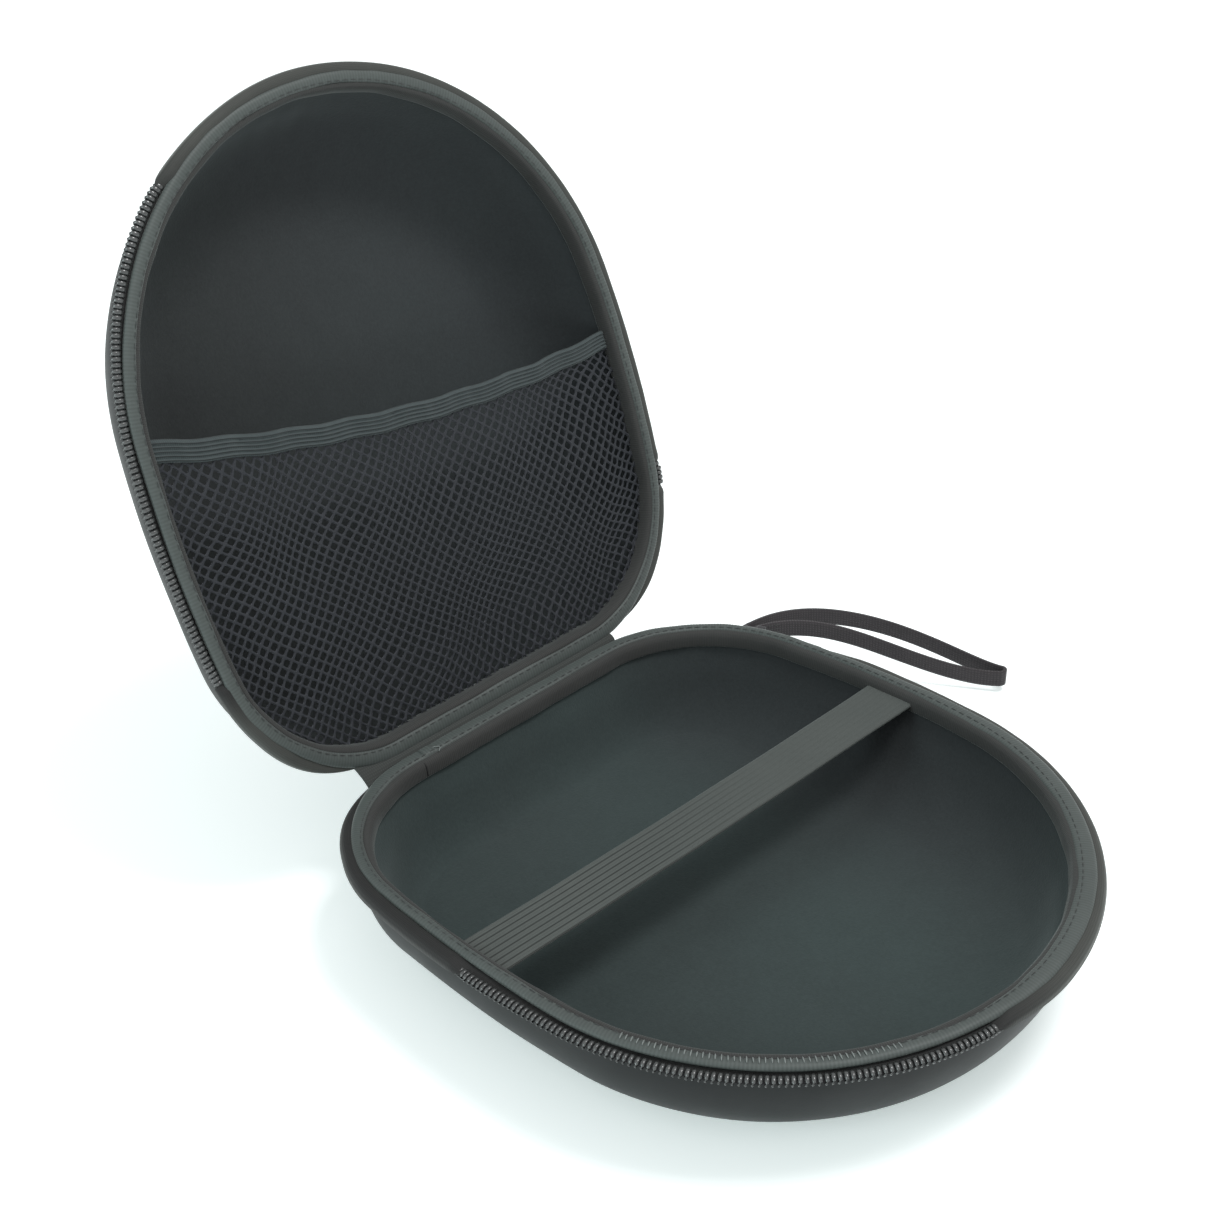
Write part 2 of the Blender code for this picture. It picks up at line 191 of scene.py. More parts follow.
def lengths(line):
    """Distance run along a line of points, from its first."""
    return np.concatenate([[0.0], np.cumsum(np.linalg.norm(np.diff(line, axis=0), axis=1))])


def left_of(directions):
    """Unit vectors level with the floor, to the left of each direction."""
    return unit(np.stack([-directions[:, 1], directions[:, 0], np.zeros(len(directions))], 1))


# ---- meshes
def inside_out(verts, faces):
    """True when a closed mesh's faces look inwards, which makes its signed volume negative."""
    fans = np.array([(f[0], f[k], f[k + 1]) for f in faces for k in range(1, len(f) - 1)])
    a, b, c = (verts[fans[:, k]] for k in range(3))
    return (a * np.cross(b, c)).sum() < 0.0


def add_object(name, data):
    obj = bpy.data.objects.new(name, data)
    bpy.context.scene.collection.objects.link(obj)
    return obj


def make_mesh(name, verts, faces, uv, mat):
    """Mesh object from points in mm, its faces turned outwards, with the pattern's uv corners."""
    verts = np.asarray(verts, float).reshape(-1, 3)
    if inside_out(verts, faces):
        faces = [f[::-1] for f in faces]
        uv = [corners[::-1] for corners in uv]
    mesh = bpy.data.meshes.new(name)
    mesh.from_pydata((verts * MM).tolist(), [], [tuple(int(k) for k in f) for f in faces])
    mesh.materials.append(mat)
    mesh.polygons.foreach_set("use_smooth", [True] * len(mesh.polygons))
    layer = mesh.uv_layers.new(name="pattern")
    layer.data.foreach_set("uv", [c for corners in uv for pair in corners for c in pair])
    mesh.validate()
    mesh.update()
    return add_object(name, mesh)


def attach(obj, body, slot, *nodes):
    """Ride on a body and stand in for CAD nodes, which it hides; slot is not used."""
    if body:
        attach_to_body(obj, body)
    for node in nodes:
        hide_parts(node)
    return obj


def build(name, verts, faces, uv, mat, body, slot, *nodes):
    """Finished piece; one that rides on the lid is given in base position."""
    verts = np.array(verts, float).reshape(-1, 3)
    if body == "lid":
        verts[:, 1], verts[:, 2] = swung(verts[:, 1], verts[:, 2])
    return attach(make_mesh(name, verts, faces, uv, mat), body, slot, *nodes)


def modify(obj, kind, **settings):
    """Give a mesh one modifier and apply it."""
    mod = obj.modifiers.new(kind.lower(), kind)
    for key, value in settings.items():
        setattr(mod, key, value)
    graph = bpy.context.evaluated_depsgraph_get()
    mesh = bpy.data.meshes.new_from_object(obj.evaluated_get(graph))
    obj.modifiers.clear()
    old = obj.data
    obj.data = mesh
    bpy.data.meshes.remove(old)
    mesh.name = obj.name


def grid_faces(rows, cols, wrap_rows=False, us=None, vs=None, base=0):
    """Quads and their uv corners for a [rows, cols] grid of points that closes across."""
    us = np.arange(rows + 1.0) if us is None else us
    vs = np.arange(cols + 1.0) if vs is None else vs
    faces, uv = [], []
    for a in range(rows if wrap_rows else rows - 1):
        here, there = base + a * cols, base + (a + 1) % rows * cols
        for c in range(cols):
            d = (c + 1) % cols
            faces.append([here + c, there + c, there + d, here + d])
            uv.append([(us[a], vs[c]), (us[a + 1], vs[c]), (us[a + 1], vs[c + 1]), (us[a], vs[c + 1])])
    return faces, uv


def capped(rows, cols, us=None, vs=None, base=0):
    """The same for a tube closed by a face at each end."""
    faces, uv = grid_faces(rows, cols, False, us, vs, base)
    faces += [[base + k for k in range(cols)], [base + (rows - 1) * cols + k for k in reversed(range(cols))]]
    uv += [[(0.0, 0.0)] * cols] * 2
    return faces, uv


def strip(name, grid, us, vs, mat, body, slot, *nodes, ring=False):
    """Swept piece from a [station, profile, 3] grid, closed into a ring or capped at its ends."""
    rows, cols = grid.shape[:2]
    faces, uv = grid_faces(rows, cols, True, us, vs) if ring else capped(rows, cols, us, vs)
    return build(name, grid, faces, uv, mat, body, slot, *nodes)


def ribbon(inset, z, half):
    """Closed profile of a bent strip from its middle line, [S, K] arrays, half its thickness each way."""
    di, dz = np.gradient(inset, axis=1), np.gradient(z, axis=1)
    size = np.hypot(di, dz) + 1e-9
    ni, nz = -dz / size * half, di / size * half
    return (np.concatenate([inset + ni, (inset - ni)[:, ::-1]], 1),
            np.concatenate([z + nz, (z - nz)[:, ::-1]], 1))


def tube(path, radius, sides=6):
    """Rings of a thin tube along a path of points [N, 3], as an [N, sides, 3] grid."""
    along = unit(np.gradient(path, axis=0))
    a = np.cross(along, [0.0, 0.0, 1.0])
    a[np.linalg.norm(a, axis=1) < 1e-3] = [1.0, 0.0, 0.0]
    a /= np.linalg.norm(a, axis=1)[:, None]
    b = np.cross(along, a)
    ang = TAU * np.arange(sides) / sides
    r = np.broadcast_to(radius, len(path))[:, None, None]
    return path[:, None] + r * (a[:, None] * np.cos(ang)[:, None] + b[:, None] * np.sin(ang)[:, None])


class Tubes:
    """Many short capped tubes gathered into one mesh."""

    def __init__(self):
        self.verts, self.faces, self.uv = [], [], []

    def add(self, grid):
        faces, uv = capped(*grid.shape[:2], base=len(self.verts))
        self.verts += grid.reshape(-1, 3).tolist()
        self.faces += faces
        self.uv += uv

    def build(self, name, *rest):
        return build(name, self.verts, self.faces, self.uv, *rest)


# ---- materials
MATS = {}


class Mat:
    """A small helper round a Principled material's node tree."""

    def __init__(self, key, name, colour, rough, metallic=0.0, specular=0.5):
        mat = bpy.data.materials.new(name)
        mat.use_nodes = True
        mat.diffuse_color = (*colour, 1.0)
        MATS[key] = mat
        self.tree = mat.node_tree
        self.bsdf = self.tree.nodes["Principled BSDF"]
        self.colour = colour
        self.plug(self.bsdf, {"Base Color": (*colour, 1.0), "Roughness": rough, "Metallic": metallic,
                              "Specular IOR Level": specular})

    def plug(self, node, sockets):
        """Give sockets a constant each, or another node's output."""
        for key, value in sockets.items():
            if isinstance(value, bpy.types.NodeSocket):
                self.tree.links.new(value, node.inputs[key])
            else:
                node.inputs[key].default_value = value

    def node(self, kind, sockets, **settings):
        n = self.tree.nodes.new("ShaderNode" + kind)
        for key, value in settings.items():
            setattr(n, key, value)
        self.plug(n, sockets)
        return n

    def coords(self, scale=(1.0, 1.0, 1.0), pattern=False):
        if pattern:
            source = self.node("UVMap", {}, uv_map="pattern").outputs[0]
        else:
            source = self.node("TexCoord", {}).outputs["Object"]
        return self.node("Mapping", {"Vector": source, "Scale": scale}).outputs[0]

    def noise(self, scale, detail=4.0, rough=0.6, stretch=(1.0, 1.0, 1.0)):
        return self.node("TexNoise", {"Vector": self.coords(stretch), "Scale": scale, "Detail": detail,
                                      "Roughness": rough}).outputs[0]

    def wave(self, pitch, axis="X"):
        """Waves along or across the pattern, pitch in mm."""
        return self.node("TexWave", {"Vector": self.coords(pattern=True), "Scale": TAU / (20.0 * pitch),
                                     "Detail": 1.0}, bands_direction=axis).outputs["Fac"]

    def voronoi(self, scale, feature="F1"):
        return self.node("TexVoronoi", {"Vector": self.coords(), "Scale": scale},
                         feature=feature).outputs["Distance"]

    def along(self, start, end, low=0.0, high=1.0, pattern=True):
        """From low to high along x: the pattern's own (mm), or the object's, eased (m)."""
        x = self.node("SeparateXYZ", {0: self.coords(pattern=pattern)}).outputs[0]
        kind = "LINEAR" if pattern else "SMOOTHSTEP"
        return self.node("MapRange", {"Value": x, "From Min": start, "From Max": end, "To Min": low,
                                      "To Max": high}, interpolation_type=kind).outputs[0]

    def times(self, a, b):
        return self.node("Math", {0: a, 1: b}, operation="MULTIPLY").outputs[0]

    def mix(self, fac, a, b, mode="MIX"):
        a, b = ((*x, 1.0) if isinstance(x, tuple) else x for x in (a, b))
        return self.node("Mix", {0: fac, 6: a, 7: b}, data_type="RGBA", blend_type=mode).outputs[2]

    def ramp(self, fac, low, high, end=1.0):
        """Runs between two greys or colours as fac goes from 0 to end."""
        n = self.node("ValToRGB", {0: fac})
        for stop, place, shade in zip(n.color_ramp.elements, (0.0, end), (low, high)):
            stop.position = place
            stop.color = (*shade, 1.0) if isinstance(shade, tuple) else (shade, shade, shade, 1.0)
        return n.outputs[0]

    def paint(self, colour, *factors):
        """Base colour: a colour times the ramp of each (fac, low, high)."""
        for factor in factors:
            colour = self.mix(1.0, colour, self.ramp(*factor), "MULTIPLY")
        self.plug(self.bsdf, {"Base Color": colour})

    def shade(self, *factors):
        """Base colour: the plain colour times each factor."""
        self.paint(self.colour, *factors)

    def tint(self, fac, a, b, *factors):
        """Base colour: between two colours on fac, times each factor."""
        self.paint(self.mix(fac, a, b), *factors)

    def rough(self, fac, low, high):
        span = self.node("MapRange", {"Value": fac, "To Min": low, "To Max": high})
        self.plug(self.bsdf, {"Roughness": span.outputs[0]})

    def bump(self, *layers):
        """Layers of (height socket, strength, distance in metres)."""
        below = {}
        for height, strength, distance in layers:
            n = self.node("Bump", {"Height": height, "Strength": strength, "Distance": distance, **below})
            below = {"Normal": n.outputs[0]}
        self.plug(self.bsdf, below)

    def fuzz(self, weight, rough, tint):
        self.plug(self.bsdf, {"Sheen Weight": weight, "Sheen Roughness": rough, "Sheen Tint": (*tint, 1.0)})


def make_materials():
    k = Mat("cover", "smooth_cover", (0.0082, 0.0104, 0.0108), 0.48, specular=0.18)
    k.shade((k.noise(18.0, 3.0), 0.86, 1.12), (k.noise(420.0, 2.0), 0.95, 1.05))
    k.rough(k.noise(55.0, 5.0), 0.38, 0.56)
    k.bump((k.voronoi(1500.0, "SMOOTH_F1"), 0.10, 0.00012), (k.noise(260.0, 4.0), 0.10, 0.0002))

    k = Mat("foam", "eva_foam", (0.030, 0.030, 0.032), 0.9, specular=0.3)
    k.shade((k.noise(90.0, 4.0), 0.8, 1.2))
    k.bump((k.voronoi(1600.0), 0.3, 0.0002))

    # The linings are painted darker or lighter from left to right: painted shade and painted light for how
    # the light falls across them.
    lining_painted_shading = (("base_lining", "plush_lining", (0.038, 0.047, 0.047), (0.042, 0.060, 0.059),
             (1.0, 1.0, 1.0), (0.72, 0.60, 0.64), 0.015, 0.092),
            ("lid_lining", "plush_lining_lid", (0.033, 0.036, 0.037), (0.037, 0.045, 0.044),
             (0.80, 0.76, 0.77), (1.10, 1.10, 1.16), -0.09, 0.09))
    for key, name, low, high, left, right, start, end in lining_painted_shading:
        k = Mat(key, name, low, 0.96, specular=0.18)
        k.tint(k.noise(14.0, 3.0, 0.5), low, high, (k.along(start, end, pattern=False), left, right),
               (k.noise(900.0, 3.0), 0.82, 1.18), (k.noise(120.0, 3.0), 0.93, 1.07))
        k.bump((k.noise(1500.0, 2.0), 0.45, 0.00025), (k.noise(160.0, 3.0), 0.12, 0.0004))
        k.fuzz(0.24, 0.45, (0.62, 0.72, 0.72))

    k = Mat("binding", "grosgrain", (0.058, 0.069, 0.066), 0.55, specular=0.42)
    rib = k.wave(FULL / BINDING_RIBS)
    # The rib factor paints the grooves between the cross ribs darker and their crests lighter: painted shade
    # and painted light.
    k.tint(k.noise(30.0, 3.0), (0.050, 0.061, 0.058), (0.068, 0.081, 0.077),
           (rib, 0.84, 1.10), (k.noise(700.0, 2.0), 0.9, 1.1))
    k.bump((rib, 0.3, 0.00015), (k.noise(1800.0, 2.0), 0.25, 0.0001))
    k.fuzz(0.2, 0.4, (0.9, 1.0, 0.96))

    k = Mat("hem", "hem", (0.040, 0.041, 0.040), 0.85, specular=0.25)
    k.shade((k.noise(60.0, 3.0), 0.85, 1.15), (k.wave(0.7), 0.86, 1.08))
    k.bump((k.wave(0.7), 0.3, 0.00015), (k.noise(1500.0, 2.0), 0.3, 0.00015))
    k.fuzz(0.25, 0.4, (0.8, 0.9, 0.88))

    # The tape is painted darker where the coil shows, between these arc lengths: painted shade in the gap
    # between the binding and the coil.
    for prefix, start, end in (("base", 318.0, 600.0), ("lid", 372.0, 540.0)):
        k = Mat(prefix + "_tape", "zip_tape_" + prefix, (0.036, 0.036, 0.032), 0.7, specular=0.3)
        dark = k.times(k.along(start, start + 28.0), k.along(end, end + 14.0, 1.0, 0.0))
        k.tint(dark, (0.047, 0.050, 0.046), (0.016, 0.0165, 0.0165),
               (k.noise(50.0, 3.0), 0.85, 1.15), (k.wave(0.55, "Y"), 0.88, 1.06))
        k.bump((k.wave(0.55, "Y"), 0.3, 0.00012), (k.wave(0.6), 0.25, 0.00012),
               (k.noise(1500.0, 2.0), 0.2, 0.0001))
        k.fuzz(0.15, 0.4, (0.9, 0.95, 0.9))

    k = Mat("coil", "zip_coil", (0.050, 0.053, 0.053), 0.26, specular=0.8)
    k.shade((k.noise(160.0, 3.0), 0.75, 1.25))
    k.rough(k.noise(400.0, 3.0), 0.17, 0.32)
    k.bump((k.noise(900.0, 2.0), 0.1, 0.0001))

    k = Mat("core", "coil_core", (0.012, 0.012, 0.013), 0.85, specular=0.2)
    k.shade((k.noise(200.0, 3.0), 0.8, 1.2))
    k.bump((k.wave(0.5), 0.3, 0.0001))

    # On both elastics the dark lines are painted shade in the rib grooves. The strap's lines fade towards
    # its right end, where the strap is also painted darker as shade.
    for name, low, high, pitch in (("elastic", (0.064, 0.074, 0.070), (0.080, 0.089, 0.084), STRAP_RIB),
                                   ("elastic_band", (0.046, 0.060, 0.062), (0.060, 0.074, 0.076), 1.15)):
        k = Mat(name, name, low, 0.82, specular=0.3)
        rib = k.wave(0.62)
        # Dark lines in the rib troughs: painted shade.
        line = k.ramp(k.wave(pitch, "Y"), 0.25, 1.0, end=0.24)
        second = (rib, 0.86, 1.08)
        if name == "elastic":
            line = k.mix(k.along(-30.0, 30.0, 0.0, 0.9), line, (1.0, 1.0, 1.0))
            # Darker towards the strap's right end: painted shade.
            second = (k.along(-50.0, 80.0), 1.0, 0.86)
        k.tint(k.noise(36.0, 3.0), low, high, (line, 0.0, 1.0), second, (k.noise(1100.0, 2.0), 0.88, 1.12))
        k.bump((rib, 0.3, 0.00012), (k.noise(1600.0, 2.0), 0.25, 0.0001))
        k.fuzz(0.2, 0.4, (0.9, 1.0, 0.98))

    k = Mat("net", "net_yarn", (0.021, 0.024, 0.029), 0.7, specular=0.35)
    k.shade((k.noise(45.0, 3.0), 0.85, 1.15), (k.noise(1300.0, 2.0), 0.8, 1.2))
    k.bump((k.noise(1700.0, 3.0), 0.5, 0.00015))
    k.fuzz(0.2, 0.35, (0.8, 0.85, 1.0))

    k = Mat("webbing", "webbing", (0.046, 0.042, 0.045), 0.85, specular=0.3)
    weave = k.times(k.wave(1.1), k.wave(0.9, "Y"))
    k.tint(k.noise(60.0, 3.0), (0.040, 0.037, 0.040), (0.058, 0.053, 0.056),
           (weave, 0.75, 1.25), (k.noise(900.0, 2.0), 0.88, 1.12))
    k.bump((weave, 0.5, 0.0002), (k.noise(1500.0, 2.0), 0.3, 0.00012))
    k.fuzz(0.2, 0.4, (1.0, 0.95, 0.98))

    k = Mat("spine", "spine_fabric", (0.040, 0.044, 0.042), 0.88, specular=0.3)
    weave = k.times(k.wave(0.8), k.wave(0.8, "Y"))
    k.tint(k.noise(40.0, 3.0), (0.040, 0.044, 0.042), (0.050, 0.055, 0.052), (weave, 0.82, 1.2))
    k.bump((weave, 0.5, 0.0002), (k.noise(1300.0, 2.0), 0.25, 0.0001))
    k.fuzz(0.15, 0.4, (0.9, 0.95, 1.0))

    k = Mat("metal", "slider_metal", (0.10, 0.10, 0.105), 0.34, metallic=1.0)
    k.shade((k.noise(120.0, 4.0), 0.7, 1.15))
    k.rough(k.noise(700.0, 3.0, stretch=(1.0, 6.0, 1.0)), 0.22, 0.48)
    k.bump((k.noise(500.0, 3.0, stretch=(1.0, 8.0, 1.0)), 0.12, 0.0001))

    for name, colour, rough, specular in (("thread", (0.20, 0.22, 0.215), 0.7, 0.35),
                                          ("thread_dark", (0.055, 0.058, 0.058), 0.75, 0.3)):
        k = Mat(name, name, colour, rough, specular=specular)
        k.shade((k.noise(500.0, 2.0), 0.8, 1.2))
        k.bump((k.wave(0.35), 0.4, 0.0001))

    k = Mat("floor", "floor_paper", (0.93, 0.94, 0.945), 0.9, specular=0.1)
    k.shade((k.noise(6.0, 3.0), 0.992, 1.0))
    k.plug(k.bsdf, {"Emission Color": (0.86, 1.0, 0.98, 1.0), "Emission Strength": 0.40})


make_materials()


# ---- shells
def outward(grid):
    """Unit vectors in plan from the middle of the case."""
    return unit(grid[..., :2] - MIDDLE)


def dish_surface(depth, stations, wall_rows, floor_rows, relief=None):
    """One surface of a moulded half: rows from the rim down the wall to the floor's middle."""
    s = np.arange(stations) * FULL / stations
    v = outline(s)[2]
    rows = [rim_line(s, WALL_INSET + depth, z) for z in (SHELL_TOP, SHELL_TOP - 1.0)]
    for angle in np.linspace(0.0, 0.5 * math.pi, wall_rows + 1):
        rows.append(rim_line(s, *wall(v, angle, depth)))
    edge = rows[-1]
    for share in np.arange(1, floor_rows + 1) / floor_rows:
        flat = MIDDLE + (edge[:, :2] - MIDDLE) * (1.0 - 0.97 * share)
        rows.append(np.column_stack([flat, edge[:, 2]]))
    grid = np.stack(rows, 0)
    return grid if relief is None else relief(grid)


def shell_piece(key, name, node, slot, prefix, depth, thick, stations, wall_rows, floor_rows,
                outer_relief=None, inner_relief=None):
    """Closed moulded layer: outer and inner surface joined at the rim."""
    outer = dish_surface(depth, stations, wall_rows, floor_rows, outer_relief)
    inner = dish_surface(depth + thick, stations, wall_rows, floor_rows, inner_relief)
    grid = np.concatenate([outer[::-1], inner], 0)
    rows, cols = grid.shape[:2]
    us = lengths(grid[:, 0])
    vs = np.arange(cols + 1) * FULL / cols
    faces, uv = grid_faces(rows, cols, False, us, vs)
    verts = np.concatenate([grid.reshape(-1, 3), grid[0].mean(0)[None], grid[-1].mean(0)[None]])
    last = (rows - 1) * cols
    for k in range(cols):
        n = (k + 1) % cols
        faces.append([rows * cols, k, n])
        faces.append([rows * cols + 1, last + n, last + k])
        uv.append([(0.0, vs[k]), (us[1], vs[k]), (us[1], vs[k + 1])])
        uv.append([(us[-1] + 2.0, vs[k]), (us[-1], vs[k + 1]), (us[-1], vs[k])])
    build(prefix + "_" + name, verts, faces, uv, MATS[key], prefix, slot, prefix + "_" + node)


def soft_field(seed, amp, size):
    """Smooth random height over the plan, as a few sine waves."""
    r = np.random.default_rng(seed)
    waves = [(amp * r.uniform(0.4, 1.0), TAU / (size * r.uniform(0.7, 1.6)),
              r.uniform(0, math.pi), r.uniform(0, 6.28)) for _ in range(7)]

    def field(x, y):
        return sum(a * np.sin(k * (x * math.cos(d) + y * math.sin(d)) + p) for a, k, d, p in waves) / 3.0
    return field


def rim_spread(grid):
    """The soft layers thin out towards the rim, so the mouth is wider than the wall below it."""
    out = grid.copy()
    out[..., :2] += outward(grid) * (1.7 * smooth01((grid[..., 2] - 21.0) / 14.0))[..., None]
    return out


def lining_relief(seed, amp):
    """Slight looseness of the lining: swells on wall and floor, none at the rim."""
    broad, fine = soft_field(seed, amp, 46.0), soft_field(seed + 1, amp * 0.35, 13.0)

    def apply(grid):
        x, y, z = np.moveaxis(grid, -1, 0)
        fade = smooth01((SHELL_TOP - 1.5 - z) / 10.0)
        swell = (broad(x, y) + fine(x, y)) * fade
        swell = 0.5 * (swell + np.sqrt(swell * swell + 0.1 * fade))
        out = grid.copy()
        out[..., 2] += swell * 0.6
        out[..., :2] -= outward(grid) * (swell * smooth01((z - 6.0) / 14.0) * fade * 0.7)[..., None]
        return rim_spread(out)
    return apply


def cover_relief(seed):
    """The skin wraps the moulded foam with faint swells."""
    field = soft_field(seed, 0.10, 34.0)

    def apply(grid):
        x, y, z = np.moveaxis(grid, -1, 0)
        swell = field(x, y + z) * smooth01((SHELL_TOP - 2.0 - z) / 8.0) * smooth01(z / 4.0)
        out = grid.copy()
        out[..., :2] += outward(grid) * swell[..., None]
        return out
    return apply


def make_shells():
    """Each half's skin, foam and lining, from outside in: depth and thickness in mm."""
    skin, foam_at, lining = 0.8, 1.1, 0.7
    for prefix, foam, seed, loose in (("base", 4.0, 3, 0.9), ("lid", 3.0, 7, 0.7)):
        shell_piece("cover", "skin", "outer_cover", "smooth_cover", prefix, 0.0, skin, 220, 22, 6,
                    outer_relief=cover_relief(seed))
        shell_piece("foam", "foam", "foam_shell", "eva_foam", prefix, foam_at, foam, 110, 10, 3,
                    inner_relief=rim_spread)
        shell_piece(prefix + "_lining", "plush", "lining", "plush_lining", prefix, foam_at + foam + 0.3,
                    lining, 240, 26, 22, outer_relief=rim_spread,
                    inner_relief=lining_relief(seed + 20, loose))


# ---- rim
def flare(prefix, s):
    """How far the zip tape lies outwards, 0..1, along the rim."""
    if prefix == "lid":
        return 0.15 + 0.10 * ripple(s, (1.0, 83.0, 1.4), (0.6, 47.0, 0.2))
    side = np.exp(-((s / FULL - 0.79) / 0.055) ** 2)
    return 0.15 + 0.85 * side + 0.05 * ripple(s, (1.0, 61.0, 0.4))


def right_side(prefix, s):
    """mm by which the binding lies broader and the zip hangs lower on the base's right side."""
    if prefix == "lid":
        return 0.0 * s
    return 0.9 * smooth01((s - 140.0) / 50.0) * smooth01((352.0 - s) / 34.0)


def covered(prefix, s):
    """1 where the tape hides the coil, 0 where the coil shows."""
    first, first_run, last, last_run = TEETH[prefix]
    before = smooth01((first - s) / first_run)
    if prefix == "lid":
        before = before * (1.0 - np.exp(-((s - LID_WINDOW) / LID_WINDOW_HALF) ** 4))
    return np.maximum(before, smooth01((s - last) / last_run))


def turned(prefix, s):
    """How far the tape has turned over the coil; it is over it well before the coil is deep."""
    return smooth01(2.2 * covered(prefix, s))


def coil_profile(prefix, s):
    """Inset and height of the coil's middle along the rim."""
    fl, hide = flare(prefix, s), covered(prefix, s)
    inset = 1.45 - 0.75 * fl + 1.1 * hide
    z = 36.0 - 0.75 * fl - 0.25 * hide
    if prefix == "base":
        front = np.exp(-((s - HALF - 80.0) / 75.0) ** 4)
        broad = right_side(prefix, s)
        inset = inset - 0.35 * front - broad
        z = z - 0.45 * front - broad - DROOP * (1.0 - smooth01((s - S_ZIP - 14.0) / 40.0))
    return inset, z


def coil_seat(prefix, s):
    """The same, tucked in and down where the tape passes over the coil."""
    inset, z = coil_profile(prefix, s)
    over = turned(prefix, s)
    tuck = 3.6 * over * (1.0 - over)
    return inset + tuck, z - tuck


def make_binding(prefix):
    """Grosgrain folded over the rim: a domed band with cross ribs."""
    us = np.arange(4 * BINDING_RIBS + 1) * FULL / (4 * BINDING_RIBS)
    s = us[:-1]
    fl, broad = flare(prefix, s), right_side(prefix, s)
    hinge = 1.0 - smooth01((np.minimum(s, FULL - s) - 48.0) / 40.0)
    outer = (2.95 + 1.7 * fl) * (1.0 - hinge) + 2.0 * hinge - broad
    inner = 6.75 + 1.1 * fl + broad + ripple(s, (0.10, 37.0, 0.3), (0.07, 19.0, 1.9))
    across = np.array([0.0, 0.04, 0.16, 0.34, 0.54, 0.74, 0.90, 0.98, 1.0, 0.985, 0.90, 0.5, 0.1, 0.0])
    rise = np.array([0.30, 0.62, 0.86, 0.97, 1.00, 0.96, 0.84, 0.62, 0.36, 0.16, 0.04, 0.0, 0.04, 0.14])
    relief = 0.035 * np.cos(TAU * s * BINDING_RIBS / FULL) - 0.10
    relief = relief + 0.7 * ripple(s, (0.10, 29.0, 0.7), (0.06, 13.0, 2.1))
    inset = outer[:, None] + (inner - outer)[:, None] * across
    z = BINDING_LOW + (BINDING_TOP - BINDING_LOW) * rise + relief[:, None] * (rise > 0.5)
    vs = np.concatenate([across[:9] * 5.0, 5.0 + np.arange(1, 7)])
    strip(prefix + "_binding", sweep(s, inset, z), us, vs, MATS["binding"], prefix, "grosgrain",
          prefix + "_rim_binding", ring=True)


def make_hem(prefix):
    """Inner half of the rim's cover: from under the binding over the edge and down the wall."""
    stations, cols = 700, 19
    us = np.arange(stations + 1) * FULL / stations
    s = us[:-1]
    k = np.linspace(0.0, 6.0, cols)
    line_i, line_z = (np.interp(k, range(7), line) for line in (HEM_INSETS[prefix], HEM_HEIGHTS))
    shift = ripple(s, (0.12, 31.0, 1.0), (0.08, 17.0, 0.0))[:, None] * np.linspace(0.2, 1.0, cols)
    folds = 0.03 * np.cos(TAU * 400.0 * s / FULL)[:, None]
    inset, z = ribbon(line_i + shift + folds, line_z + 0.4 * shift, HEM_HALF)
    strip(prefix + "_lining_hem", sweep(s, inset, z), us, np.arange(2 * cols + 1) * 0.3, MATS["hem"],
          prefix, "plush_lining", ring=True)


def make_tape(prefix):
    """Woven zip tape from under the binding out to the coil, turned over it where it hides it."""
    start = 52.0
    s = np.linspace(start, FULL - start, 460)
    coil_i, coil_z = coil_profile(prefix, s)
    tail = 1.0 - smooth01((np.minimum(s, FULL - s) - start) / (S_ZIP - start))
    live = 1.0 - tail
    hide = covered(prefix, s) * live
    lead = smooth01(5.0 * covered(prefix, s)) * live
    edge = (coil_i + 0.4) * live + 2.6 * tail - 1.3 * np.sin(math.pi * tail) ** 0.7
    edge = (edge - 1.35 * lead - 0.85 * hide)[:, None]
    edge_z = (coil_z * live + 36.6 * tail - 0.1)[:, None]
    t = np.array([0.0, 0.05, 0.12, 0.22, 0.34, 0.46, 0.58, 0.72, 0.86, 1.0])
    over = np.interp(t, [0.0, 0.05, 0.12, 0.22, 0.40, 0.58, 0.72, 1.0],
                     [-0.7, 0.6, 1.3, 1.65, 1.7, 1.3, 0.7, 0.1])
    flat = np.interp(t, [0.0, 0.35, 0.6, 1.0], [0.0, -0.25, 0.15, 0.25])
    waves = ripple(s, (0.12, 23.0, 0.1), (0.10, 11.0, 0.9))[:, None] * (2.4 * t * (1 - t))
    z = edge_z * (1 - t) + 35.75 * t + flat + (over - flat) * (turned(prefix, s) * live)[:, None] + waves
    inset, z = ribbon(edge + (6.2 - edge) * t, z, TAPE_HALF)
    strip(prefix + "_tape", sweep(s, inset, z), s, 7.0 * np.concatenate([t, 1.2 + t, [2.4]]),
          MATS[prefix + "_tape"], prefix, "zip_tape", prefix + "_zip_tape")


